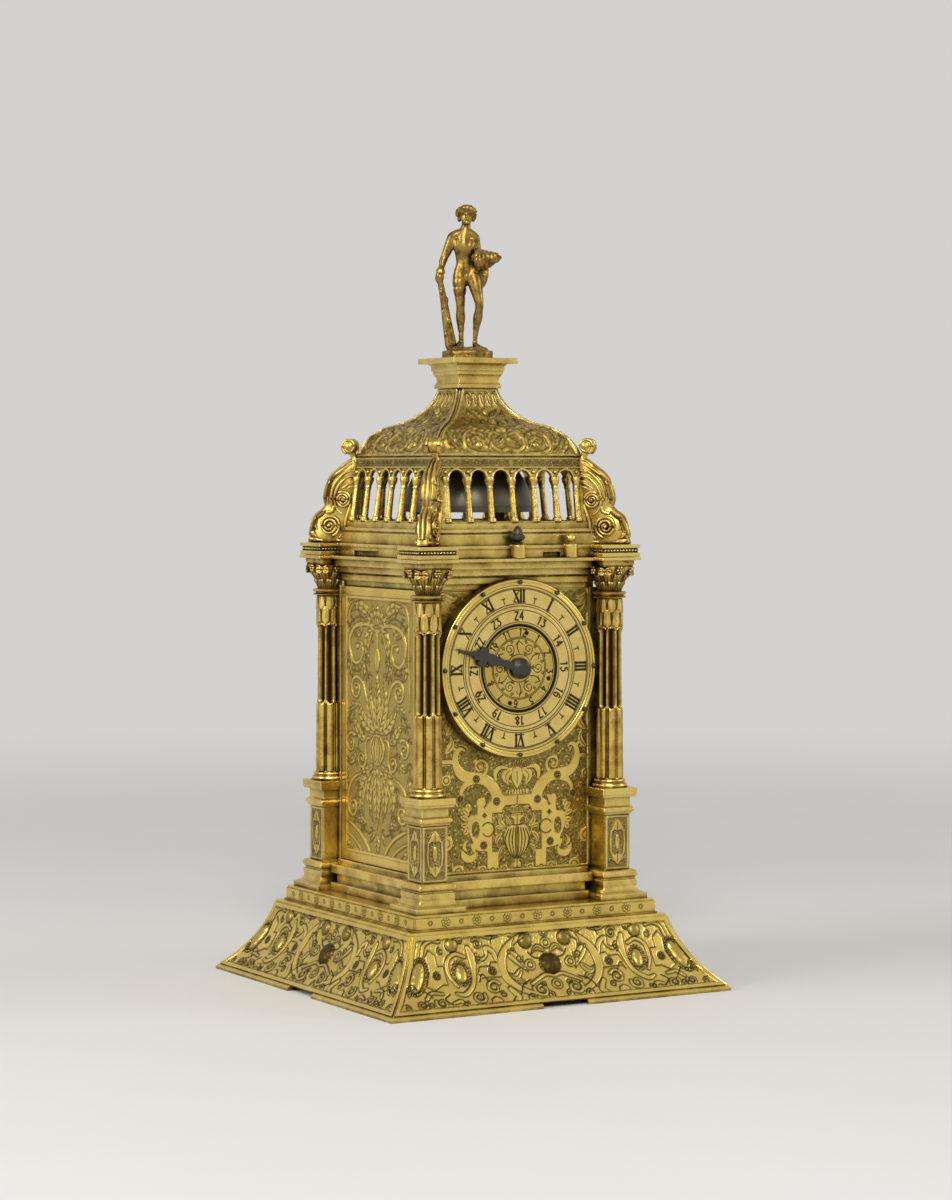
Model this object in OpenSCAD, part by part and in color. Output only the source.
// Renaissance tower table clock: gilt case on a flared foot, lift-off belfry cover,
// spring-driven going and striking trains with a verge and balance.
// The dial faces -Y, the doors are on the -X and +X sides, and the clock stands on z = 0.

/* [Foot] */
// How far the skirt flares out past its top edge, on each side
skirt_flare = 18.5; // [14:0.5:24]
// Height of the skirt
skirt_h = 29.4; // [24:0.2:36]
// Depth of the skirt's hollow curve below its chord
skirt_sag = 2.75; // [1:0.05:4]
// Thickness of the skirt's metal
skirt_wall = 1.6; // [1:0.1:2.4]
// Width of the notch in the middle of each foot edge
notch_w = 20; // [10:1:30]
// Height of that notch
notch_h = 2; // [1:0.1:4]
// Width of the ledge between the skirt's edge and the rosette strip
ledge_w = 3; // [1.5:0.1:5]
// Height of the base plate with its rosette strip
plate_h = 5.8; // [4:0.1:9]
// How far the base plate stands out past the column plinths
plate_margin = 2.2; // [1:0.1:4]

/* [Case] */
// Distance between the axes of neighbouring columns
col_pitch = 82.2; // [81:0.2:90]
// Height of the lower moulding
low_mould_h = 12; // [9:0.5:16]
// Height of the panels and doors between the mouldings
panel_h = 110.1; // [106:0.5:125]
// Height of the upper moulding
top_mould_h = 10.8; // [8:0.2:14]
// Thickness of the panels and doors
panel_t = 1.5; // [1:0.1:2.2]
// Gap between the columns and the front panel
panel_gap = 0.9; // [0.4:0.1:2]
// How far the door face lies inside the column axes
door_inset = 1.1; // [0.6:0.1:1.6]
// Gap round a door and over its edges
door_play = 0.3; // [0.2:0.05:0.5]
// Diameter of the door's pivot pins
door_pin_d = 1.1; // [0.8:0.1:1.2]
// Length of a door's pivot pins
door_pin_l = 2; // [1.5:0.1:2.5]

/* [Columns] */
// Height of a pedestal
ped_h = 43.3; // [36:0.5:50]
// Width of a pedestal's plinth
plinth_w = 21.4; // [19:0.2:22]
// Width of a pedestal's dado
dado_w = 11; // [9:0.2:11.4]
// Width of a pedestal's cap slab
cap_w = 15.8; // [13:0.2:16]
// Diameter of a column shaft
col_d = 10.2; // [8:0.1:10.6]
// Number of flutes on a shaft
flutes = 8; // [6:1:12]
// Height of a capital with its rings
capital_h = 15; // [12:0.2:18]
// Width of a capital's abacus
abacus_w = 14.6; // [12:0.2:15]

/* [Dial] */
// Diameter of the dial
dial_d = 69.6; // [64:0.2:70]
// Distance from the top edge of the front panel down to the dial's centre
dial_drop = 30.8; // [29:0.1:34]
// Least gap between the dial's edge and the shafts of the columns
dial_side_gap = 1; // [0.5:0.1:3]
// Thickness of the dial
dial_t = 5.2; // [4.2:0.1:7]
// Diameter of the alarm disc
alarm_d = 32.4; // [26:0.2:34]
// Gap round the alarm disc
alarm_gap = 0.6; // [0.3:0.05:1]
// Length of the hand from its centre to its tip
hand_l = 29.6; // [24:0.2:31]
// Direction of the hand, anticlockwise from the right
hand_a = 164; // [0:1:359]

/* [Cover] */
// Thickness of the cornice plate
cornice_t = 1.2; // [1:0.1:2]
// Height of the cover's fascia
fascia_h = 4.8; // [4.4:0.1:6]
// Height of the belfry's base with its sill
belfry_base_h = 8.7; // [7:0.1:11]
// Height of the arcade
arcade_h = 25.6; // [22:0.2:30]
// Height of the dome above the arcade
dome_h = 27.6; // [26:0.2:34]
// Thickness of the cover's walls
cover_wall = 1.4; // [1:0.1:2]
// Number of arches on each side
arches = 6; // [4:1:7]
// Distance between the colonnettes
arch_pitch = 9.9; // [9:0.1:10.2]
// Diameter of a colonnette's shaft
colonnette_d = 2.6; // [2:0.1:3]
// Height of the neck below the top plate
neck_h = 9.8; // [8:0.1:13]
// Width of the top plate
top_plate_w = 29.2; // [24:0.2:34]
// Thickness of the top plate
top_plate_t = 2.2; // [1.5:0.1:3]
// Height of the standing figure without its round base
figure_h = 57.8; // [50:0.2:64]
// Thickness of a scroll bracket
bracket_t = 5; // [3.5:0.1:6.5]

/* [Movement] */
// Tooth module of the two trains
train_m = 0.7; // [0.66:0.01:0.72]
// Tooth module of the motion work behind the dial
motion_m = 0.9; // [0.88:0.01:0.92]
// Teeth of the great wheels
great_n = 48; // [46:1:48]
// Teeth of the second wheel and the pin wheel
second_n = 42; // [38:1:44]
// Leaves of every pinion
pinion_n = 12; // [12:1:13]
// Teeth of the hour wheel
hour_n = 60; // [59:1:61]
// Teeth of the idler between the fusee and the hour wheel
idler_n = 26; // [26:1:28]
// Teeth of the count wheel
count_n = 60; // [56:1:60]
// Teeth of the crown wheel
crown_n = 21; // [15:2:27]
// Play between meshing teeth
tooth_play = 0.14; // [0.1:0.01:0.2]
// Running clearance of a shaft in its hole, on the radius
run_gap = 0.05; // [0.02:0.01:0.08]
// Diameter of the bell
bell_d = 52; // [44:0.5:56]
// Thickness of the bell's wall
bell_t = 1.6; // [1.2:0.1:2.4]
// Diameter of the balance wheel
balance_d = 40; // [32:0.5:42]

/* [Hidden] */
$fn = 48;

gilt = "#c8a04a";
dark_gilt = "#a57f35";
steel = "#3a3733";
bright_steel = "#8c8f93";
wheel_brass = "#b9974d";
bell_metal = "#a9a79b";

seat_gap = 0.2;
far = 400;

col_c = max(col_pitch / 2, (dial_d + col_d) / 2 + dial_side_gap);
plate_half = col_c + plinth_w / 2 + plate_margin;
skirt_top = plate_half + ledge_w;
foot_half = skirt_top + skirt_flare;
panel_y = col_c - col_d / 2 - panel_gap;
door_x = col_c - door_inset;

z_plate = skirt_h;
z_case = z_plate + plate_h;
z_panel = z_case + low_mould_h;
z_panel_top = z_panel + panel_h;
z_cornice = z_panel_top + top_mould_h;
z_seat = z_cornice + cornice_t;
z_fascia = z_seat + seat_gap;
z_belfry = z_fascia + fascia_h;
z_arcade = z_belfry + belfry_base_h;
z_dome = z_arcade + arcade_h;
z_neck = z_dome + dome_h;
z_top_plate = z_neck + neck_h;
z_figure = z_top_plate + top_plate_t;

col_top = z_cornice - capital_h;
col_foot = z_case + ped_h;
post_in = col_c - cap_w / 2 - 0.1;
door_half = post_in - door_play;
core_half = col_c - max(abacus_w, cap_w) / 2 - 0.1;
low_core = col_c - plinth_w / 2 - 0.2;
ring_w = 2.7;

// Points of a circular arc from a to b that bulges by sag to the left of the way from a to b
function arc(a, b, sag, n) =
    let (c = norm(b - a), r = (c * c / 4 + sag * sag) / (2 * abs(sag)),
         u = (b - a) / c, side = sign(sag), v = [-u[1], u[0]] * side,
         mid = (a + b) / 2, centre = mid - v * (r - abs(sag)),
         half = asin(min(1, c / 2 / r)))
    [for (i = [0:n]) let (t = -half + 2 * half * i / n) centre + u * r * sin(t) + v * r * cos(t)];

function mirrored(pts) = concat(pts, [for (i = [len(pts) - 1:-1:0]) [-pts[i][0], pts[i][1]]]);

// A profile of [half width, height] points that runs round a square plan, mitred at its corners
module square_run(pts) {
    reach = 2 * max([for (p = pts) p[0]]) + 2;
    intersection() {
        rotate([90, 0, 0]) linear_extrude(reach, center = true) polygon(mirrored(pts));
        rotate([90, 0, 90]) linear_extrude(reach, center = true) polygon(mirrored(pts));
    }
}

module slab(half_x, half_y, z0, z1) {
    translate([-half_x, -half_y, z0]) cube([2 * half_x, 2 * half_y, z1 - z0]);
}

// Puts its children on a line along Y through x and z, with local +Z towards the dial
module along_y(x, z, y) {
    translate([x, y, z]) rotate([90, 0, 0]) children();
}

module on_corner(sx, sy) {
    translate([sx * col_c, sy * col_c, 0]) children();
}

// Foot

skirt_curve = arc([foot_half, 1], [skirt_top, skirt_h], skirt_sag, 12);

module base_skirt() color(gilt) {
    flange_half = plate_half - 6;
    inner = [for (p = skirt_curve) [p[0] - skirt_wall * 1.2, min(p[1], skirt_h - skirt_wall)]];
    difference() {
        square_run(concat([[foot_half, 0]], skirt_curve));
        square_run(concat([[foot_half - 1.5 * skirt_wall, -1]], inner,
                          [[flange_half, skirt_h - skirt_wall], [flange_half, skirt_h + 1]]));
        for (a = [0, 90]) rotate([0, 0, a])
            translate([-notch_w / 2, -foot_half - 1, -1])
                cube([notch_w, 2 * foot_half + 2, notch_h + 1]);
    }
}

module base_plate() color(gilt) {
    rim = 8;
    lip = 0.6;
    floor_t = 1.8;
    difference() {
        square_run([[plate_half + lip, z_plate], [plate_half + lip, z_plate + lip],
                    [plate_half, z_plate + lip], [plate_half, z_case - 1],
                    [plate_half - 0.4, z_case - 1], [plate_half - 0.4, z_case]]);
        slab(plate_half - rim, plate_half - rim, z_plate - 1, z_case - floor_t);
    }
}

// Pedestals and columns

ped_profile = let (p = plinth_w / 2, d = dado_w / 2, c = cap_w / 2,
                   h = ped_h, ov = (p + d) / 2 - 0.4) concat(
    [[p, 0], [p, 2.1], [p - 1, 2.1]],
    arc([p - 1.2, 2.4], [ov, 5.7], 0.9, 4),
    [[ov, 7.3], [ov - 0.5, 7.3], [ov - 0.5, 8.1]],
    arc([ov - 0.3, 8.2], [ov - 0.9, 11.1], -0.9, 5),
    [[d, 11.1], [d, h - 10.3], [d + 0.7, h - 10.3]],
    arc([d + 0.7, h - 9.8], [d + 0.9, h - 7.4], -0.7, 5),
    [[d + 0.3, h - 7], [d + 0.3, h - 3.8], [d + 1.1, h - 3.5], [c - 0.4, h - 3.5],
     [c - 0.4, h - 2.6], [c, h - 2.4], [c, h]]);

module pedestal(sx, sy) color(gilt) difference() {
    on_corner(sx, sy) translate([0, 0, z_case]) square_run(ped_profile);
    case_corner();
}

// Room for the corner posts, cut out of the pedestals and columns that stand round them
module case_corner() {
    slab(door_x + 0.05, panel_y + 0.05, z_panel - 0.05, z_panel_top + 0.05);
}

// Pointed leaf standing on its foot, l high, w wide and t thick
module leaf(l, w, t) {
    edge = concat([[w / 3, 0]], arc([w / 2, l * 0.45], [0.05, l], -0.1 * l, 4));
    translate([0, t / 2, 0]) rotate([90, 0, 0]) linear_extrude(t) polygon(mirrored(edge));
}

module capital() {
    bell_h = 9.8;
    z_bell = col_top + 2.7;
    z_abacus = z_bell + bell_h;
    translate([0, 0, col_top]) rotate_extrude() polygon(concat(
        [[0, 0], [6, 0]], arc([6, 0.1], [6, 0.8], -0.3, 4), [[5.2, 0.9], [5.2, 1.5]],
        arc([6, 1.6], [6, 2.6], -0.4, 4), [[4.4, 2.7]],
        arc([4.4, 2.8], [5.9, 2.7 + bell_h], 0.6, 5), [[0, 2.7 + bell_h]]));
    for (i = [0:7]) rotate([0, 0, 45 * i])
        translate([0, 4.3, z_bell]) rotate([-14, 0, 0]) leaf(4.6, 3.2, 0.9);
    for (i = [0:7]) rotate([0, 0, 45 * i + 22.5])
        translate([0, 4.1, z_bell + 1]) rotate([-16, 0, 0]) leaf(7.2, 3, 0.9);
    for (i = [0:3]) rotate([0, 0, 90 * i + 45])
        translate([6.9, 0, z_abacus - 1.9]) rotate([90, 0, 0]) cylinder(r = 1.8, h = 2.2, center = true, $fn = 24);
    difference() {
        translate([-abacus_w / 2, -abacus_w / 2, z_abacus]) cube([abacus_w, abacus_w, z_cornice - z_abacus]);
        for (i = [0:3]) rotate([0, 0, 90 * i])
            translate([abacus_w / 2 + 12.4, 0, z_abacus - 1]) cylinder(r = 13.4, h = 1.8);
    }
}

module column(sx, sy) color(gilt) difference() {
    on_corner(sx, sy) shaft_and_capital();
    case_corner();
}

module shaft_and_capital() {
    shaft_h = col_top - col_foot;
    foot_h = 3.2;
    cable_h = shaft_h * 0.42;
    sleeve_h = 12;
    r = col_d / 2;
    difference() {
        translate([0, 0, col_foot]) cylinder(r1 = r, r2 = r * 0.94, h = shaft_h);
        for (i = [0:flutes - 1]) rotate([0, 0, 360 / flutes * (i + 0.5)])
            translate([r + 0.35, 0, col_foot + cable_h])
                cylinder(r = 1.35, h = shaft_h - cable_h - sleeve_h, $fn = 24);
    }
    for (i = [0:flutes - 1]) rotate([0, 0, 360 / flutes * (i + 0.5)])
        translate([r - 0.75, 0, col_foot + foot_h]) cylinder(r = 1, h = cable_h - foot_h, $fn = 24);
    translate([0, 0, col_foot]) rotate_extrude() polygon(concat(
        [[0, 0], [r + 1.6, 0]], arc([r + 1.6, 0.1], [r + 1.6, 1.5], -0.6, 5),
        [[r + 0.7, 1.6], [r + 0.7, 2.1]], arc([r + 0.9, 2.1], [r + 0.9, foot_h], -0.4, 4), [[0, foot_h]]));
    difference() {
        translate([0, 0, col_top - sleeve_h]) cylinder(r = r + 0.1, h = sleeve_h);
        for (i = [0:flutes - 1]) rotate([0, 0, 360 / flutes * (i + 0.5)])
            translate([r, 0, col_top - sleeve_h]) rotate([0, 90, 0]) cylinder(r = 1.5, h = 2, center = true, $fn = 24);
    }
    capital();
}

// Mouldings and frame of the case

low_steps = [[8, 3.3], [5, 6.8], [6.5, 10.2], [3, low_mould_h]];
top_steps = [[1.4, 2.2], [2.8, 4.6], [2.2, 5.4], [4.2, 8], [6.2, top_mould_h]];
side_out = door_x - panel_y + 1 - low_steps[3][0] + 0.1;

module square_ring(outer, inner, z0, z1) {
    difference() {
        slab(outer, outer, z0, z1);
        slab(inner, inner, z0 - 1, z1 + 1);
    }
}

module pivot_holes(z0, z1) {
    for (s = [-1, 1])
        translate([s * hinge_x, hinge_y, z0]) cylinder(d = door_pin_d + 2 * run_gap, h = z1 - z0);
}

hinge_x = door_x - panel_t / 2;
hinge_y = door_half - panel_t / 2;
step_inset = col_c - (plinth_w + dado_w) / 4 + 0.1;

module lower_moulding() color(gilt) {
    difference() {
        union() {
            square_ring(low_core, low_core - ring_w, z_case, z_panel);
            for (a = [0, 180]) rotate([0, 0, a]) low_bar(0);
            for (a = [90, 270]) rotate([0, 0, a]) low_bar(side_out);
        }
        slab(low_core - ring_w, low_core - ring_w, z_case - 1, z_panel + 1);
        pivot_holes(z_panel - door_pin_l, z_panel + 1);
    }
}

module low_bar(extra) {
    for (i = [0:3]) {
        z0 = i == 0 ? 0 : low_steps[i - 1][1];
        reach = panel_y + low_steps[i][0] + extra;
        half = i < 2 ? low_core : step_inset;
        translate([-half, -reach, z_case + z0])
            cube([2 * half, reach - low_core + ring_w, low_steps[i][1] - z0]);
    }
}

module upper_moulding() color(gilt) {
    difference() {
        union() {
            square_ring(core_half, core_half - ring_w, z_panel_top, z_cornice);
            for (a = [0, 180]) rotate([0, 0, a]) top_bar(0);
            for (a = [90, 270]) rotate([0, 0, a]) top_bar(side_out - 1.4);
        }
        pivot_holes(z_panel_top - 1, z_panel_top + door_pin_l);
        along_y(0, dial_z, -panel_y) cylinder(r = dial_d / 2 + 0.2, h = 20);
    }
}

module top_bar(extra) {
    for (i = [0:4]) {
        z0 = i == 0 ? 0 : top_steps[i - 1][1];
        reach = panel_y + (i == 0 ? max(top_steps[0][0] + extra, extra > 0 ? top_steps[1][0] + extra - 1 : 0)
                                  : top_steps[i][0] + extra);
        translate([-core_half, -reach, z_panel_top + z0])
            cube([2 * core_half, reach - core_half + ring_w, top_steps[i][1] - z0]);
    }
}

module corner_posts() color(gilt) {
    deep = 4;
    for (sx = [-1, 1], sy = [-1, 1]) translate([0, 0, z_panel]) linear_extrude(panel_h)
        polygon([for (p = [[post_in, panel_y - deep], [door_x - panel_t - door_play, panel_y - deep],
                           [door_x - panel_t - door_play, post_in], [door_x, post_in],
                           [door_x, panel_y], [panel_y + 0.3, panel_y], [panel_y + 0.3, panel_y - panel_t],
                           [post_in, panel_y - panel_t]])
                 [sx * p[0], sy * p[1]]]);
}

module cornice_plate() color(gilt) {
    difference() {
        union() {
            slab(col_c + 3.9, col_c + 3.9, z_cornice, z_seat);
            for (sx = [-1, 1], sy = [-1, 1]) translate([sx * col_c, sy * col_c, 0])
                slab(block_w / 2 + 0.2, block_w / 2 + 0.2, z_cornice, z_seat);
        }
        slab(core_half - ring_w, core_half - ring_w, z_cornice - 1, z_seat + 1);
    }
}

module panel_plate(y0) {
    translate([-panel_y, y0, z_panel]) cube([2 * panel_y, panel_t, panel_h]);
}

module front_panel() color(gilt) difference() {
    panel_plate(-panel_y);
    along_y(0, dial_z, 0) cylinder(r = arbor_r + run_gap, h = far);
}

module back_panel() color(gilt) difference() {
    panel_plate(panel_y - panel_t);
    for (x = [fusee_x, strike_x]) along_y(x, wind_z, far) cylinder(r = 3, h = far);
}

module door(side) color(gilt) {
    z0 = z_panel + door_play;
    h = panel_h - 2 * door_play;
    difference() {
        union() {
            translate([side * hinge_x - panel_t / 2, -door_half, z0]) cube([panel_t, door_half + hinge_y, h]);
            translate([side * hinge_x, hinge_y, z0]) cylinder(d = panel_t, h = h);
        }
        translate([side * door_x, 0, z0 + h / 2]) cube([0.5, 2 * door_half - 7, h - 7], center = true);
    }
    translate([side * hinge_x, hinge_y, z0 - door_play - door_pin_l + 0.2])
        cylinder(d = door_pin_d, h = h + 2 * door_play + 2 * door_pin_l - 0.4);
}

// Dial

dial_z = z_panel_top - dial_drop;
dial_r = dial_d / 2;
dial_front = panel_y + dial_t;
arbor_r = 1.5;
recess = 2.3;
hub_r = 4;

module ring_groove(r, w, deep) {
    translate([0, 0, dial_t - deep]) difference() {
        cylinder(r = r + w / 2, h = deep + 1, $fn = 96);
        translate([0, 0, -1]) cylinder(r = r - w / 2, h = deep + 3, $fn = 96);
    }
}

module dial() color(gilt) along_y(0, dial_z, -panel_y) difference() {
    union() {
        cylinder(r = dial_r, h = dial_t - 0.4, $fn = 96);
        difference() {
            cylinder(r = dial_r, h = dial_t + 0.3, $fn = 96);
            translate([0, 0, dial_t]) cylinder(r = dial_r - 2.5, h = 1, $fn = 96);
        }
    }
    for (r = [dial_r - 4, dial_r - 9.7, dial_r - 12.1, alarm_d / 2 + 1.8]) ring_groove(r, 0.35, 0.25);
    translate([0, 0, dial_t - recess]) cylinder(r = alarm_d / 2 + alarm_gap, h = recess + 1, $fn = 96);
    translate([0, 0, -1]) cylinder(r = hub_r + run_gap, h = dial_t + 2);
}

module touch_pins() color(steel) {
    for (i = [0:11]) along_y(0, dial_z, -dial_front - 0.3) rotate([0, 0, 30 * i])
        translate([dial_r - 1.25, 0, 0]) {
            cylinder(r = 0.85, h = 0.85, $fn = 20);
            translate([0, 0, 0.85]) sphere(r = 0.85, $fn = 20);
        }
}

module alarm_disc() color(gilt) along_y(0, dial_z, -panel_y) difference() {
    union() {
        translate([0, 0, dial_t - recess + 0.25]) cylinder(r = alarm_d / 2, h = recess - 0.45, $fn = 96);
        translate([0, 0, 0.2]) cylinder(r = hub_r, h = dial_t - recess + 0.1);
    }
    translate([0, 0, -1]) cylinder(r = arbor_r + run_gap, h = dial_t + 2);
    for (a = [76, -18, -107]) rotate([0, 0, a]) translate([alarm_d / 2 - 2.1, 0, dial_t - recess])
        cylinder(r = 0.8, h = recess + 1, $fn = 20);
}

module hour_hand() color(steel) along_y(0, dial_z, -dial_front - 0.9) {
    tip = hand_l;
    lobe = hand_l * 0.6;
    lobe_r = 1.75;
    difference() {
        union() {
            cylinder(r = 4, h = 1.2);
            translate([0, 0, 1.2]) cylinder(r1 = 4, r2 = 2.4, h = 1.6);
            translate([0, 0, 0.4]) rotate([0, 0, hand_a]) linear_extrude(1) {
                polygon([[3, -1.5], [lobe, -1], [tip, -0.15], [tip, 0.15], [lobe, 1], [3, 1.5]]);
                for (s = [-1, 1]) translate([lobe, s * 2.2]) circle(r = lobe_r, $fn = 24);
                translate([lobe + 2.6, 0]) circle(r = lobe_r, $fn = 24);
                for (s = [-1, 1]) polygon([[7, s * 1], [lobe - 3, s * 2.3], [lobe - 1.6, s * 1]]);
            }
        }
        translate([0, 0, -1]) cylinder(r = arbor_r, h = 1.9);
    }
}

// Movement frame

bar_t = 3;
bar_half = 9;
bar_y = 25;
base_half = 29.5;
frame_y = 26;
z_frame = z_panel;
frame_t = 2.2;
z_frame_top = z_panel_top - 7.3;
post_x = 26.5;
post_y = 22.5;

fusee_x = -14;
barrel_x = 14;
strike_x = 12;
great_r = train_m * great_n / 2;
pinion_r = train_m * pinion_n / 2;
second_r = train_m * second_n / 2;

motion_pinion_r = motion_m * pinion_n / 2;
idler_r = motion_m * idler_n / 2;
hour_r = motion_m * hour_n / 2;
// The winding arbors lie as far below the dial as the idler reaches, standing a little aside,
// and the great wheels clear the movement's base
idler_aside = 1.467;
motion_reach = motion_pinion_r + 2 * idler_r + hour_r - idler_aside;
wind_z = max(dial_z - sqrt(motion_reach * motion_reach - fusee_x * fusee_x),
             z_frame + frame_t + great_r + 2 * train_m);
mesh_great = great_r + pinion_r;
mesh_second = second_r + pinion_r;
second_z = wind_z + sqrt(mesh_great * mesh_great - fusee_x * fusee_x);
crown_z = second_z + mesh_second;
pin_z = wind_z + sqrt(mesh_great * mesh_great - strike_x * strike_x);
fly_z = pin_z + mesh_second;
verge_y = -8.5;
verge_r = 0.9;
// Idler place: where its two mesh circles cross, on the right of the line to the dial centre
idler_at = let (a = [fusee_x, wind_z], b = [0, dial_z], d = norm(b - a), u = (b - a) / d,
                r1 = motion_pinion_r + idler_r, r2 = idler_r + hour_r,
                s = (r1 * r1 - r2 * r2 + d * d) / (2 * d))
    a + u * s + [u[1], -u[0]] * sqrt(max(0, r1 * r1 - s * s));
count_r = train_m * count_n / 2;
count_x = 5;
count_z = wind_z + sqrt(pow(count_r + pinion_r, 2) - pow(strike_x - count_x, 2));

module movement_base() color(wheel_brass)
    slab(base_half, frame_y, z_frame, z_frame + frame_t);

hammer_x = -20;
hammer_y = 8;
hammer_z = z_frame_top + frame_t + 4;

module movement_top() color(wheel_brass) {
    difference() {
        slab(base_half, frame_y, z_frame_top, z_frame_top + frame_t);
        translate([0, verge_y, z_frame_top - 1]) cylinder(r = 2.4, h = frame_t + 2);
        translate([hammer_x - 4, hammer_y - 1.5, z_frame_top - 1]) cube([8, 3, frame_t + 2]);
    }
    difference() {
        for (y = [hammer_y - 3.6, hammer_y + 1.6])
            translate([hammer_x - 2.5, y, z_frame_top + frame_t]) cube([5, 2, 6.5]);
        along_y(hammer_x, hammer_z, hammer_y + 5) cylinder(r = 1 + run_gap, h = 10);
    }
}

module movement_posts() color(bright_steel) {
    z0 = z_frame + frame_t;
    h = z_frame_top - z0;
    for (sx = [-1, 1], sy = [-1, 1]) translate([sx * post_x, sy * post_y, z0])
        rotate_extrude() polygon(concat([[0, 0], [2.6, 0], [2.6, 4]], arc([2, 4.4], [2, h / 2 - 2], -0.35, 6),
            [[2.6, h / 2 - 1.6], [2.6, h / 2 + 1.6]], arc([2, h / 2 + 2], [2, h - 4.4], -0.35, 6),
            [[2.6, h - 4], [2.6, h], [0, h]]));
}

// Upright bar with a cross arm at the winding arbors, drilled for the pivots in holes: [x, z, radius]
module train_bar(y, arm_x, holes) {
    difference() {
        union() {
            translate([-bar_half, y - bar_t, z_frame + frame_t])
                cube([2 * bar_half, bar_t, z_frame_top - z_frame - frame_t]);
            translate([-arm_x, y - bar_t, wind_z - 5]) cube([2 * arm_x, bar_t, 10]);
        }
        for (p = holes) along_y(p[0], p[1], y + 1) cylinder(r = p[2] + run_gap, h = bar_t + 2, $fn = 32);
    }
}

pivot_r = 0.8;
stud_r = 1.5;

module front_bar() color(bright_steel) {
    train_bar(-bar_y + bar_t, 19, [[fusee_x, wind_z, 1.2], [barrel_x, wind_z, pivot_r],
        [0, second_z, pivot_r], [0, crown_z, pivot_r], [0, dial_z, pivot_r]]);
    along_y(idler_at[0], idler_at[1], -bar_y) cylinder(r = stud_r, h = 5, $fn = 32);
}

module middle_bar() color(bright_steel) {
    arm_x = 6.2;
    difference() {
        union() {
            train_bar(bar_t / 2, 19, [[fusee_x, wind_z, arbor_r], [barrel_x, wind_z, pivot_r],
                [0, second_z, pivot_r], [strike_x, wind_z, 1.2], [0, pin_z, pivot_r], [0, fly_z, pivot_r]]);
            translate([arm_x, -13.5, crown_z - 1.5]) cube([2.3, 13.5 - bar_t / 2, 3]);
            translate([-2, -13.5, crown_z - 1.5]) cube([arm_x + 4.3, 1.8, 3]);
            translate([-1.8, -10.5, verge_foot - 1]) cube([3.6, 10.5 - bar_t / 2, 1]);
        }
        along_y(0, crown_z, -11) cylinder(r = 0.6 + run_gap, h = 4, $fn = 32);
        translate([0, verge_y, verge_foot - 3]) cylinder(r = 0.6 + run_gap, h = 4, $fn = 32);
    }
}

module back_bar() color(bright_steel) {
    train_bar(bar_y, 19, [[fusee_x, wind_z, arbor_r], [strike_x, wind_z, arbor_r],
        [0, pin_z, pivot_r], [0, fly_z, pivot_r]]);
    along_y(count_x, count_z, bar_y + 4.6) cylinder(r = stud_r, h = 4.6, $fn = 32);
}

// Gears

pressure = 25;
function inv(a) = tan(a) * 180 / PI - a;
function half_tooth(r, m, n) = let (rp = m * n / 2, rb = rp * cos(pressure), a = r <= rb ? 0 : acos(rb / r))
    90 / n - tooth_play / (4 * rp) * 180 / PI + inv(pressure) - inv(a);
function at_angle(r, a) = [r * cos(a), r * sin(a)];

// Involute gear outline with a tooth centred on angle first
module gear_outline(m, n, first) {
    rp = m * n / 2;
    radii = [rp - 1.15 * m, rp - 0.35 * m, rp + 0.3 * m, rp + 0.9 * m];
    polygon([for (i = [0:n - 1]) let (c = first + 360 / n * i)
        for (j = [0:7]) let (k = j < 4 ? j : 7 - j, s = j < 4 ? -1 : 1)
            at_angle(radii[k], c + s * max(0.3, half_tooth(radii[k], m, n)))]);
}

// Tooth angle of a gear with nb teeth that meshes with one of na teeth and tooth angle fa;
// line is the direction from the first gear's centre to the second's
function mesh_angle(fa, na, nb, line) = line + 180 - (fa - line) * na / nb + 180 / nb;
function way(a, b) = atan2(b[1] - a[1], b[0] - a[0]);

// Wheel with crossed-out rim, t thick towards the dial
module wheel(m, n, first, t, spokes) {
    rp = m * n / 2;
    rim = rp - 1.15 * m - 1.8;
    linear_extrude(t) difference() {
        gear_outline(m, n, first);
        difference() {
            circle(r = rim);
            circle(r = 3.4);
            for (i = [0:spokes - 1]) rotate([0, 0, 360 / spokes * i]) translate([0, -0.9]) square([rim + 1, 1.8]);
        }
    }
}

module pinion(m, first, t) {
    linear_extrude(t) gear_outline(m, pinion_n, first);
}

module arbor(y_back, y_front, r) {
    translate([0, y_front, 0]) rotate([-90, 0, 0]) cylinder(r = r, h = y_back - y_front, $fn = 32);
}

end_gap = 0.3;
front_face = -bar_y + bar_t;
mid_front = -bar_t / 2;
mid_back = bar_t / 2;
back_face = bar_y - bar_t;

fusee_at = [fusee_x, wind_z];
second_at = [0, second_z];
crown_at = [0, crown_z];
strike_at = [strike_x, wind_z];
pin_at = [0, pin_z];
fly_at = [0, fly_z];
count_at = [count_x, count_z];
dial_at = [0, dial_z];

great_tooth = 0;
second_pinion_tooth = mesh_angle(great_tooth, great_n, pinion_n, way(fusee_at, second_at));
second_tooth = 0;
crown_pinion_tooth = mesh_angle(second_tooth, second_n, pinion_n, way(second_at, crown_at));
fusee_pinion_tooth = 0;
idler_tooth = mesh_angle(fusee_pinion_tooth, pinion_n, idler_n, way(fusee_at, idler_at));
hour_tooth = mesh_angle(idler_tooth, idler_n, hour_n, way(idler_at, dial_at));
pin_pinion_tooth = mesh_angle(great_tooth, great_n, pinion_n, way(strike_at, pin_at));
fly_pinion_tooth = mesh_angle(second_tooth, second_n, pinion_n, way(pin_at, fly_at));
count_tooth = mesh_angle(fusee_pinion_tooth, pinion_n, count_n, way(strike_at, count_at));

great_y = -2.6;
cone_back = -6;
cone_front = -17.5;
drum_r = 12.5;
wind_end = panel_y + 1.4;

module winding_square(y0) {
    translate([-1.05, y0, -1.05]) cube([2.1, wind_end - y0, 2.1]);
}

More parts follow.
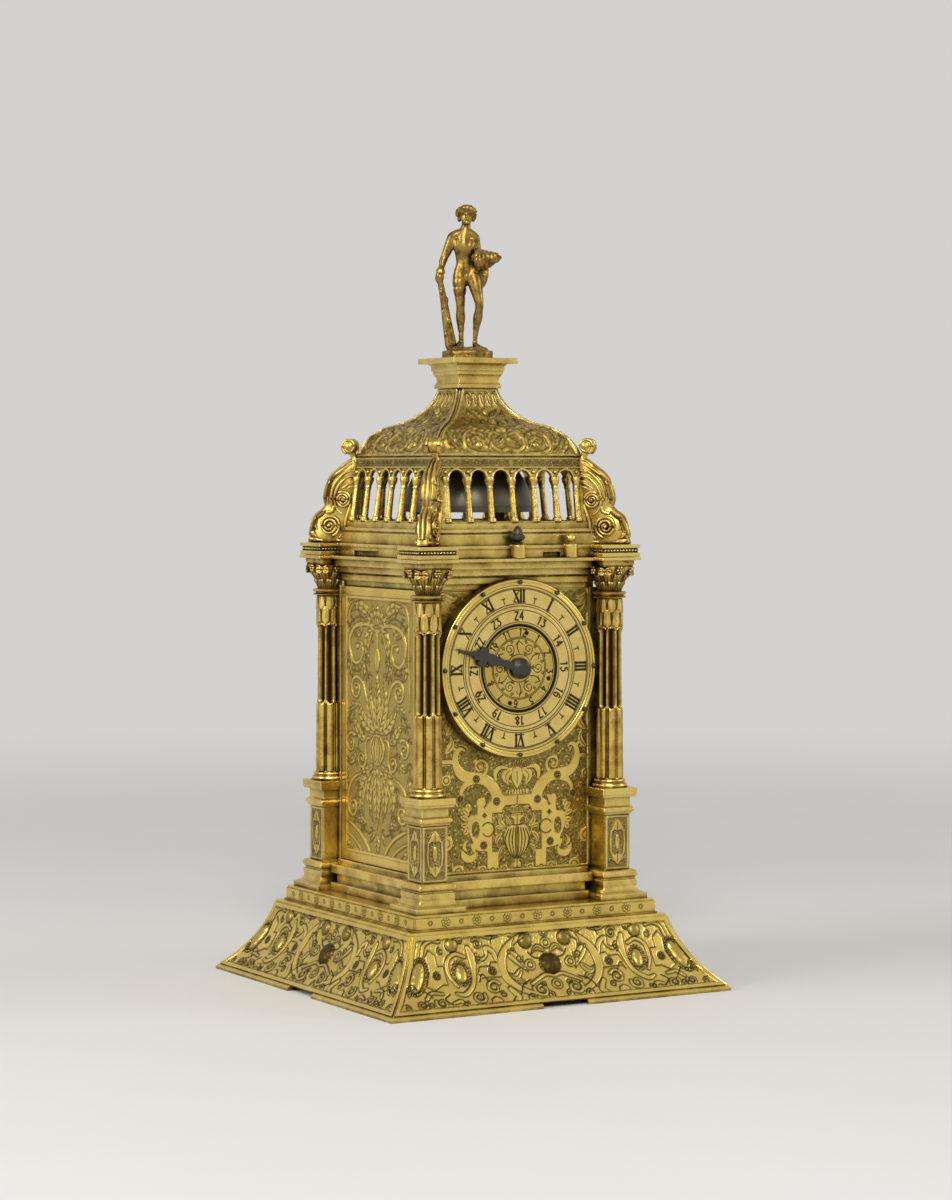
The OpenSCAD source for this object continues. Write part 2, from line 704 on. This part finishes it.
module fusee() color(wheel_brass) translate([fusee_x, 0, wind_z]) {
    turns = 7;
    depth = cone_back - cone_front;
    grooves = [for (i = [0:turns - 1], k = [0:3])
        let (s = (i + k / 4) / turns, r = 10.8 - 5.2 * s * (1.3 - 0.3 * s))
        [r - (k == 1 || k == 2 ? 0.7 : 0), s * depth]];
    along_y(0, 0, great_y) wheel(train_m, great_n, great_tooth, 2, 4);
    along_y(0, 0, cone_back) rotate_extrude() polygon(concat([[0, 0]], grooves, [[5.2, depth], [0, depth]]));
    along_y(0, 0, great_y - 1) cylinder(r = 5, h = great_y - 1 - cone_back + 0.1);
    arbor(mid_front - end_gap, front_face + end_gap, 2);
    arbor(bar_y + 2, mid_front - end_gap - 0.1, arbor_r);
    arbor(front_face + end_gap + 0.1, -bar_y - 5, 1.2);
    along_y(0, 0, -bar_y - 1.6) pinion(motion_m, fusee_pinion_tooth, 3.2);
    winding_square(bar_y + 1.9);
}

module spring_drum(back, front) {
    along_y(0, 0, back) rotate_extrude() polygon(concat([[0, 0], [drum_r, 0], [drum_r, 1], [drum_r - 0.5, 1.3],
        [drum_r - 0.5, back - front - 1.3], [drum_r, back - front - 1], [drum_r, back - front],
        [drum_r - 1, back - front], [drum_r - 1, back - front - 0.5], [0, back - front - 0.5]]));
}

module spring_barrel() color(wheel_brass) translate([barrel_x, 0, wind_z]) {
    spring_drum(cone_back, cone_front);
    arbor(mid_front - end_gap, front_face + end_gap, 1.8);
    arbor(mid_front + bar_t - 0.4, front_face - bar_t + 0.4, pivot_r);
}

module second_wheel() color(wheel_brass) translate([0, 0, second_z]) {
    along_y(0, 0, -18.6) wheel(train_m, second_n, second_tooth, 1.8, 4);
    along_y(0, 0, mid_front - 0.7) pinion(train_m, second_pinion_tooth, 3.2);
    arbor(mid_front - end_gap, front_face + end_gap, 1.2);
    arbor(mid_front + bar_t - 1, front_face - bar_t + 0.4, pivot_r);
}

crown_r = 12;
crown_tips = verge_y - 1.4;

module crown_wheel() color(wheel_brass) translate([0, 0, crown_z]) {
    depth = 6.1;
    tooth_h = 3;
    difference() {
        along_y(0, 0, crown_tips) difference() {
            cylinder(r = crown_r, h = depth, $fn = 64);
            translate([0, 0, -1]) cylinder(r = crown_r - 1, h = depth - 0.2, $fn = 64);
            for (i = [0:3]) rotate([0, 0, 90 * i + 45]) translate([6.6, 0, 0]) cylinder(r = 2.9, h = depth + 1);
        }
        for (i = [0:crown_n - 1]) rotate([0, 360 / crown_n * i, 0])
            linear_extrude(crown_r + 2)
                polygon([[0.2 - PI * crown_r / crown_n, crown_tips + 0.1],
                         [PI * crown_r / crown_n - 0.3, crown_tips + 0.1],
                         [0.3 - PI * crown_r / crown_n, crown_tips - tooth_h]]);
    }
    along_y(0, 0, -18.2) pinion(train_m, crown_pinion_tooth, 2.8);
    arbor(-13.9, front_face + end_gap, 1.1);
    arbor(-11.9, -14, 0.6);
    arbor(front_face + end_gap + 0.1, front_face - bar_t + 0.4, pivot_r);
}

verge_foot = crown_z - 12.8;
balance_z = z_frame_top + frame_t + 5;
bridge_z = balance_z + 5;

module balance() color(steel) translate([0, verge_y, 0]) {
    rim_w = 2.4;
    rim_t = 1.6;
    flag_r = 1.3;
    translate([0, 0, verge_foot + 0.3]) cylinder(r = verge_r, h = bridge_z - 0.3 - verge_foot - 0.3, $fn = 32);
    translate([0, 0, verge_foot - 0.9]) cylinder(r = 0.6, h = bridge_z + 2.5 - verge_foot, $fn = 32);
    for (s = [-1, 1]) translate([0, 0, crown_z + s * (crown_r - 0.5) - 1]) rotate([0, 0, 90 + s * 50])
        translate([0, -0.3, 0]) cube([flag_r, 0.6, 2]);
    translate([0, 0, balance_z]) linear_extrude(rim_t) {
        difference() {
            circle(d = balance_d, $fn = 96);
            circle(d = balance_d - 2 * rim_w, $fn = 96);
        }
        circle(r = 3);
        for (a = [0, 90]) rotate([0, 0, a]) square([balance_d - rim_w, 2], center = true);
    }
}

module balance_bridge() color(gilt) {
    leg = balance_d / 2 + 1.5;
    z0 = z_frame_top + frame_t;
    difference() {
        union() {
            for (s = [-1, 1]) translate([s * (leg + 1.25) - 1.25, verge_y - 2.5, z0])
                cube([2.5, 5, bridge_z - z0 + 0.1]);
            translate([-leg - 2.5, verge_y - 2.5, bridge_z]) cube([2 * leg + 5, 5, 1.8]);
            translate([0, verge_y, bridge_z]) cylinder(r = 4, h = 1.8);
        }
        translate([0, verge_y, bridge_z - 1]) cylinder(r = 0.6 + run_gap, h = 4, $fn = 32);
    }
}

module stud_wheel(m, n, first, y_back) {
    along_y(0, 0, y_back) difference() {
        union() {
            wheel(m, n, first, 2, 4);
            cylinder(r = 3.6, h = 2.6);
        }
        translate([0, 0, -1]) cylinder(r = stud_r + run_gap, h = 5, $fn = 32);
    }
}

module idler_wheel() color(wheel_brass) translate([idler_at[0], 0, idler_at[1]])
    stud_wheel(motion_m, idler_n, idler_tooth, -bar_y - 1.9);

module hour_wheel() color(wheel_brass) translate([0, 0, dial_z]) {
    along_y(0, 0, -bar_y - 1.9) wheel(motion_m, hour_n, hour_tooth, 2, 5);
    arbor(-bar_y - end_gap, -dial_front - 1.7, arbor_r);
    arbor(-bar_y - end_gap + 2.5, -bar_y - end_gap - 0.1, pivot_r);
    arbor(-bar_y - 1, -bar_y - 5.6, 3);
}

strike_great_y = 6;
strike_drum_back = 14.5;
strike_drum_front = 7.5;

module strike_barrel() color(wheel_brass) translate([strike_x, 0, wind_z]) {
    along_y(0, 0, strike_great_y) wheel(train_m, great_n, great_tooth, 2, 4);
    spring_drum(strike_drum_back, strike_drum_front);
    arbor(strike_drum_front + 0.5, strike_great_y - 3, 4);
    arbor(back_face - end_gap, mid_back + end_gap, 2);
    arbor(bar_y + 2, back_face - end_gap - 0.1, arbor_r);
    arbor(mid_back + end_gap + 0.1, mid_back - 2.5, 1.2);
    along_y(0, 0, bar_y + 4.4) pinion(train_m, fusee_pinion_tooth, 3);
    winding_square(bar_y + 1.9);
}

module strike_arbor() {
    arbor(back_face - end_gap, mid_back + end_gap, 1.2);
    arbor(bar_y - 0.4, mid_back - 1, pivot_r);
}

module pin_wheel() color(wheel_brass) translate([0, 0, pin_z]) {
    pins = 8;
    along_y(0, 0, 20.7) wheel(train_m, second_n, second_tooth, 1.8, 4);
    for (i = [0:pins - 1]) rotate([0, 360 / pins * (i + 0.5), 0]) translate([second_r - 2.2, 0, 0])
        arbor(19, 15.2, 0.6);
    along_y(0, 0, 7) pinion(train_m, pin_pinion_tooth, 4.6);
    strike_arbor();
}

module fly() color(wheel_brass) translate([0, 0, fly_z]) {
    along_y(0, 0, 21.4) pinion(train_m, fly_pinion_tooth, 3.2);
    translate([-9, 3.6, -0.3]) cube([18, 11, 0.6]);
    arbor(14.6, 3.6, 1.7);
    strike_arbor();
}

module count_wheel() color(wheel_brass) translate([count_x, 0, count_z]) difference() {
    stud_wheel(train_m, count_n, count_tooth, bar_y + 4);
    for (i = [1:11]) rotate([0, i * (i + 1) / 2 * 360 / 78, 0])
        translate([count_r - 3.1, bar_y + 1, 0]) rotate([-90, 0, 0]) cylinder(r = 0.7, h = 4, $fn = 20);
}

// Striking

bell_z = z_belfry + 12.7;
bell_r = bell_d / 2;
rod_r = 2;

module bell() color(bell_metal) translate([0, 0, bell_z]) difference() {
    rotate_extrude($fn = 96) difference() {
        union() {
            intersection() {
                circle(r = bell_r, $fn = 96);
                square([far, far]);
            }
            translate([0, 0]) square([bell_r + 0.5, 2]);
        }
        circle(r = bell_r - bell_t, $fn = 96);
    }
    translate([0, 0, bell_r - 5]) cylinder(r = rod_r + run_gap, h = 10, $fn = 32);
}

module bell_stand() color(bright_steel) {
    z0 = z_frame_top + frame_t;
    arm_z = bridge_z + 6;
    top = bell_z + bell_r;
    translate([-4, 14, z0]) cube([8, 5, 1.5]);
    translate([-2, 16, z0]) cube([4, 2.5, arm_z - z0]);
    translate([-2, -2.5, arm_z - 2.5]) cube([4, 21, 2.5]);
    translate([0, 0, arm_z - 0.1]) cylinder(r = rod_r, h = top + 3 - arm_z, $fn = 32);
    translate([0, 0, top - bell_t - 2.4]) cylinder(r = 3.2, h = 2, $fn = 32);
    translate([0, 0, top + 0.3]) cylinder(r = 3.4, h = 2.2, $fn = 6);
}

module hammer() color(bright_steel) {
    head_z = bell_z + 1;
    tail_z = pin_z + 9;
    translate([hammer_x - 1, hammer_y - 1, tail_z]) cube([2, 2, head_z - tail_z]);
    translate([hammer_x - 1, hammer_y - 1, tail_z]) cube([2, 10.5, 2]);
    translate([hammer_x - 1, hammer_y + 7.5, tail_z]) cube([5, 2, 2]);
    along_y(hammer_x, hammer_z, hammer_y + 3.4) cylinder(r = 1, h = 6.8, $fn = 32);
    head_out = sqrt(pow(bell_r - bell_t, 2) - pow(hammer_y + 2.2, 2)) - 0.9;
    translate([-head_out, hammer_y, head_z]) rotate([0, 90, 0]) cylinder(r = 2.2, h = 5.8, $fn = 32);
}

// Cover

block_w = 17.4;
fascia_out = col_c + 0.2;
fascia_in = core_half + 1.2;
wall_out = col_c - 4.1;
slot_h = 2.1;
latch_y = fascia_out - 2;
// Each latch slot is [start, length, pin's place, blade's reach from its pin] along its side
front_slot = [10.2, 8, 11.6, 6.1];
left_slot = [-1.6, 21, 17.9, -17.8];
acorn_x = -1.8;
ball_x = 22.3;
collar_y = fascia_out + 0.9;

module pin_collar(x, r) {
    translate([x, -collar_y, z_fascia]) cylinder(r = r, h = fascia_h + 0.3);
}

module block(sx, sy) {
    translate([sx * col_c, sy * col_c, z_fascia]) square_run([[block_w / 2, 0], [block_w / 2, 1.5],
        [block_w / 2 - 0.7, 1.7], [block_w / 2 - 0.7, fascia_h - 1.5], [block_w / 2, fascia_h - 1.3],
        [block_w / 2, fascia_h]]);
}

module latch_slot(s) {
    translate([s[0], -fascia_out - 1, z_fascia - 1]) cube([s[1], 6, slot_h + 1]);
    translate([s[2], -latch_y, z_fascia]) cylinder(r = 0.6 + run_gap, h = slot_h + 1.9, $fn = 32);
}

module on_left_side() rotate([0, 0, -90]) mirror([1, 0, 0]) children();

module cover_fascia() color(gilt) difference() {
    union() {
        square_ring(fascia_out, fascia_out - 4.6, z_fascia, z_belfry);
        square_ring(fascia_out + 0.5, fascia_in, z_belfry - 1.3, z_belfry);
        for (sx = [-1, 1], sy = [-1, 1]) block(sx, sy);
        pin_collar(acorn_x, 3.2);
        pin_collar(ball_x, 3);
    }
    slab(fascia_in, fascia_in, z_fascia - 1, z_belfry + 1);
    for (x = [acorn_x, ball_x]) translate([x, -collar_y, z_fascia - 1])
        cylinder(r = 1.2 + run_gap, h = fascia_h + 3, $fn = 32);
    latch_slot(front_slot);
    on_left_side() latch_slot(left_slot);
}

module latch(s) color(dark_gilt) translate([s[2], -latch_y, z_fascia + end_gap]) {
    l = s[3];
    linear_extrude(slot_h - 2 * end_gap) {
        circle(r = 1.1, $fn = 24);
        polygon([[0, -1.1], [l * 0.92, -0.9], [l, 0.2], [l * 0.88, 1], [0, 1.1]]);
    }
    cylinder(r = 0.6, h = slot_h + 1, $fn = 32);
}

module front_latch() latch(front_slot);
module left_latch() on_left_side() latch(left_slot);

module acorn_pin() color(steel) translate([acorn_x, -collar_y, z_fascia]) {
    head = fascia_h + 0.6;
    cylinder(r = 1.2, h = head + 0.1, $fn = 32);
    translate([0, 0, head]) rotate_extrude() polygon(concat([[0, 0], [2, 0], [2.2, 0.6], [1.4, 1], [2.5, 1.8]],
        arc([2.7, 2.2], [2.3, 3.6], -0.4, 4), [[2.1, 3.8]], arc([2.1, 3.9], [0, 7.2], -0.5, 6)));
}

module ball_pin() color(gilt) translate([ball_x, -collar_y, z_fascia]) {
    head = fascia_h + 0.6;
    cylinder(r = 1.2, h = head + 0.1, $fn = 32);
    translate([0, 0, head]) rotate_extrude() polygon(concat([[0, 0], [1.8, 0], [1.2, 0.6]],
        arc([1.2, 0.7], [0, 4], -1.3, 8)));
}

module belfry_base() color(gilt) {
    difference() {
        square_run([[wall_out + 1.9, z_belfry], [wall_out + 1.9, z_belfry + 4.2], [wall_out + 1.2, z_belfry + 4.8],
                    [wall_out + 1.9, z_belfry + 5.2], [wall_out + 1.6, z_arcade - 2.4],
                    [wall_out + 0.3, z_arcade - 2.2], [wall_out + 0.3, z_arcade]]);
        slab(wall_out - cover_wall - 1, wall_out - cover_wall - 1, z_belfry - 1, z_arcade + 1);
    }
}

lean = 2.7 / 20.5;
wall_top = wall_out - lean * 18;
dome_foot = wall_out - 4.6;
neck_half = 8.45;
dome_turn = [neck_half + 12.5, z_dome + dome_h * 0.46];
wall_curve = concat([[wall_out, z_arcade]],
    arc([wall_top, z_arcade + 18], [dome_foot + 0.4, z_dome], -0.25, 3));
dome_curve = concat(arc([dome_foot + 0.4, z_dome], dome_turn, -2.6, 8),
                    arc(dome_turn, [neck_half, z_neck], 2.4, 8));

module shell_of(curve) {
    difference() {
        square_run(curve);
        square_run([for (i = [0:len(curve) - 1]) [curve[i][0] - cover_wall,
            curve[i][1] + (i == 0 ? -0.01 : i == len(curve) - 1 ? 0.01 : 0)]]);
    }
}

module dome() color(gilt) {
    last = len(dome_curve) - 1;
    difference() {
        square_run(dome_curve);
        square_run(concat([[dome_curve[0][0] - cover_wall, z_dome - 1]],
            [for (p = dome_curve) [p[0] - cover_wall * (p[1] > z_dome + 8 ? 1.5 : 1.1), p[1] - 0.3]],
            [[neck_half - 2.5, z_neck + 1]]));
    }
}

arch_half = arches * arch_pitch / 2;
spring_z = z_arcade + 17.2;
foot_top = z_arcade + 0.6;

module arcade() color(gilt) {
    clear = (arch_pitch - colonnette_d) / 2 - 0.3;
    lean_a = atan(lean);
    difference() {
        intersection() {
            shell_of(wall_curve);
            translate([0, 0, z_arcade - 1]) linear_extrude(arcade_h + 2)
                polygon([[0, 0], [-far, -far], [far, -far]]);
        }
        translate([-arch_half + colonnette_d / 2, -far, foot_top])
            cube([2 * arch_half - colonnette_d, far, spring_z - foot_top]);
        for (i = [0:arches - 1]) along_y((i + 0.5) * arch_pitch - arch_half, spring_z, 0)
            cylinder(r = clear, h = far, $fn = 32);
    }
    for (i = [0:arches]) translate([i * arch_pitch - arch_half, -wall_out + cover_wall / 2, z_arcade])
        rotate([-lean_a, 0, 0]) colonnette((spring_z - z_arcade) / cos(lean_a));
}

module colonnette(h) {
    r = colonnette_d / 2;
    rotate_extrude($fn = 24) polygon([[0, 0.3], [r + 0.5, 0.3], [r + 0.5, 1.6], [r, 2.2], [r * 0.86, h - 3.8],
        [r + 0.2, h - 3.6], [r * 0.9, h - 3.1], [r + 0.6, h - 0.8], [r + 0.6, h + 0.6], [0, h + 0.6]]);
}

module arcade_front() arcade();
module arcade_right() rotate([0, 0, 90]) arcade();
module arcade_back() rotate([0, 0, 180]) arcade();
module arcade_left() rotate([0, 0, 270]) arcade();

// Scroll bracket: outline points are [distance from the axis along the diagonal, height]
function diag(h, z) = [h * sqrt(2) * col_c / 41.1, z_belfry + z];

module scroll_disc(c, r, t) {
    translate([c[0], 0, c[1]]) rotate([90, 0, 0]) difference() {
        cylinder(r = r, h = t, center = true, $fn = 40);
        for (s = [-1, 1]) translate([0, 0, s * t / 2]) difference() {
            cylinder(r = r * 0.78, h = 1.2, center = true, $fn = 40);
            cylinder(r = r * 0.42, h = 2, center = true, $fn = 40);
        }
    }
}

module scroll_bracket(sx, sy) color(gilt) {
    turn = sx > 0 ? (sy > 0 ? 45 : -45) : (sy > 0 ? 135 : 225);
    top_c = diag(34.7, 39.6);
    low_c = diag(43.3, 6);
    mid_c = diag(39.6, 17.5);
    back = concat(arc(diag(47.4, 0), diag(45.8, 8), 0.5, 3), arc(diag(45, 9.4), diag(41.8, 15.8), 1, 4),
                  arc(diag(42.7, 17), diag(39.3, 27.4), -1.2, 5), arc(diag(38.6, 28.4), diag(33.9, 34.8), 1.1, 5),
                  [diag(34, 38)]);
    front = concat([diag(33, 38), diag(32.4, 36.6), diag(32.7, 34.4)], arc(diag(33.4, 33), diag(36.2, 26.5), -0.6, 4),
                   arc(diag(36.6, 20), diag(37.6, 9.2), 0.3, 4), [diag(39.4, 9), diag(39.4, 0)]);
    rotate([0, 0, turn]) {
        rotate([90, 0, 0]) linear_extrude(bracket_t - 1.4, center = true) polygon(concat(back, front));
        scroll_disc(low_c, 5.4, bracket_t + 1);
        scroll_disc(mid_c, 4.2, bracket_t);
        scroll_disc(top_c, 3.5, bracket_t + 0.4);
    }
}

// Top

module neck_cap() color(gilt) {
    p = neck_half;
    square_run(concat([[p - 2.8, z_neck - 3], [p - 2.8, z_neck], [p + 1.4, z_neck], [p + 1.4, z_neck + 1.4]],
        arc([p + 1, z_neck + 1.8], [p + 1.6, z_neck + 5.4], 0.6, 5),
        [[p + 1.8, z_neck + 5.6], [p + 1.8, z_neck + 6.6], [p + 2.3, z_neck + 7], [p + 2.3, z_neck + 8.8],
         [p + 3.2, z_top_plate], [top_plate_w / 2, z_top_plate], [top_plate_w / 2, z_figure]]));
}

// Figure: a standing nude man with a club and a rolled skin, modelled in limbs of [x, y, z, radius]
s_fig = figure_h / 57.8;
function fig(p) = [p[0] * s_fig, p[1] * s_fig, p[2] * s_fig];

module limb(chain) {
    for (i = [0:len(chain) - 2]) hull() for (p = [chain[i], chain[i + 1]])
        translate(fig(p)) sphere(r = p[3] * s_fig, $fn = 14);
}

view_turn = -30;

module figure() color(dark_gilt) {
    translate([0, 0, z_figure]) {
        rotate_extrude() polygon(concat([[0, 0], [10.3, 0]], arc([10.3, 0.1], [10.1, 2.2], -0.5, 5),
            [[9.2, 2.4]], arc([9.2, 2.5], [8, 4.2], 0.5, 4), [[0, 4.6]]));
        rotate([0, 0, view_turn]) translate([0, 0, 4.2]) {
            head_and_torso();
            arms_club_and_skin();
            leg(-1, -2.9, 0);
            leg(1, 4.7, -1.4);
        }
    }
}

module head_and_torso() {
    limb([[-0.5, -0.2, 54.6, 2.9], [-0.4, -0.8, 52.6, 2.3]]);
    limb([[-3.4, 0.3, 54.9, 1.5], [-2, -1.8, 56, 1.5], [0.6, -2.2, 56.1, 1.5], [2.8, -0.4, 55.3, 1.5],
          [2, 1.9, 54.6, 1.5], [-1.6, 2.2, 54.4, 1.5], [-3.4, 0.3, 54.9, 1.5]]);
    limb([[-0.9, 0.3, 46, 1.8], [-0.6, 0, 51.5, 1.6]]);
    limb([[-6, 0.3, 44.5, 2.1], [-3.2, 0, 41.6, 3.2], [0.4, 0, 41.6, 3.1], [2.4, 0.3, 43.9, 1.9]]);
    limb([[-1.4, 0, 42, 3.6], [-0.9, -0.1, 35.4, 3.2], [-0.4, 0.1, 31, 3.6]]);
    limb([[-2.8, 0.3, 29.6, 3.3], [2.2, 0.4, 29.6, 3.2]]);
}

module arms_club_and_skin() {
    limb([[-6.2, 0.3, 44.2, 2], [-8.6, 0.6, 39.6, 1.7], [-10.4, 0.4, 36, 1.3], [-11, -1, 31.4, 1.5]]);
    limb([[-11, -1.2, 33.8, 1.4], [-10.2, -1, 26, 1.4], [-8, -0.6, 12, 1.9], [-6.6, -0.2, 2, 2.2]]);
    limb([[2.4, 0.5, 43.8, 1.9], [4.6, 1.6, 39, 1.5], [6.4, 0.4, 35.4, 1.4]]);
    limb([[5.8, 0, 35.2, 3.6], [8.6, -0.4, 35.4, 3.7], [11.2, -0.2, 35.8, 1.7]]);
    limb([[5, 0.8, 31.4, 1.7], [6.2, 0.8, 28, 1.4], [7, 0.8, 24.4, 0.8]]);
}

// Leg on side s, with its knee at lateral place knee and depth out
module leg(s, knee, out) {
    foot = s < 0 ? -2.6 : 2.8;
    limb([[s * 2.9 - 0.3, 0.2, 29.5, 3.4], [(s * 2.9 + knee) / 2, out / 2, 23, 2.9], [knee, out, 17.2, 2],
          [(2 * knee + foot) / 3, out / 2 + 0.9, 12.6, 2], [foot, 0.9, 3.6, 1.15], [foot + s * 0.4, 0.4, 1.2, 1.2],
          [foot + s, -2.6, 0.7, 1]]);
}

base_skirt();
base_plate();
pedestal(-1, -1);  // pedestal_front_left
pedestal(1, -1);  // pedestal_front_right
pedestal(-1, 1);  // pedestal_back_left
pedestal(1, 1);  // pedestal_back_right
column(-1, -1);  // column_front_left
column(1, -1);  // column_front_right
column(-1, 1);  // column_back_left
column(1, 1);  // column_back_right
lower_moulding();
upper_moulding();
corner_posts();
cornice_plate();
front_panel();
back_panel();
door(-1);  // left_door
door(1);  // right_door
dial();
touch_pins();
alarm_disc();
hour_hand();
movement_base();
movement_top();
movement_posts();
front_bar();
middle_bar();
back_bar();
spring_barrel();
fusee();
second_wheel();
crown_wheel();
balance();
balance_bridge();
idler_wheel();
hour_wheel();
strike_barrel();
pin_wheel();
fly();
count_wheel();
hammer();
bell_stand();
bell();
cover_fascia();
belfry_base();
arcade_front();
arcade_back();
arcade_left();
arcade_right();
dome();
scroll_bracket(-1, -1);  // bracket_front_left
scroll_bracket(1, -1);  // bracket_front_right
scroll_bracket(-1, 1);  // bracket_back_left
scroll_bracket(1, 1);  // bracket_back_right
neck_cap();
figure();
acorn_pin();
ball_pin();
front_latch();
left_latch();
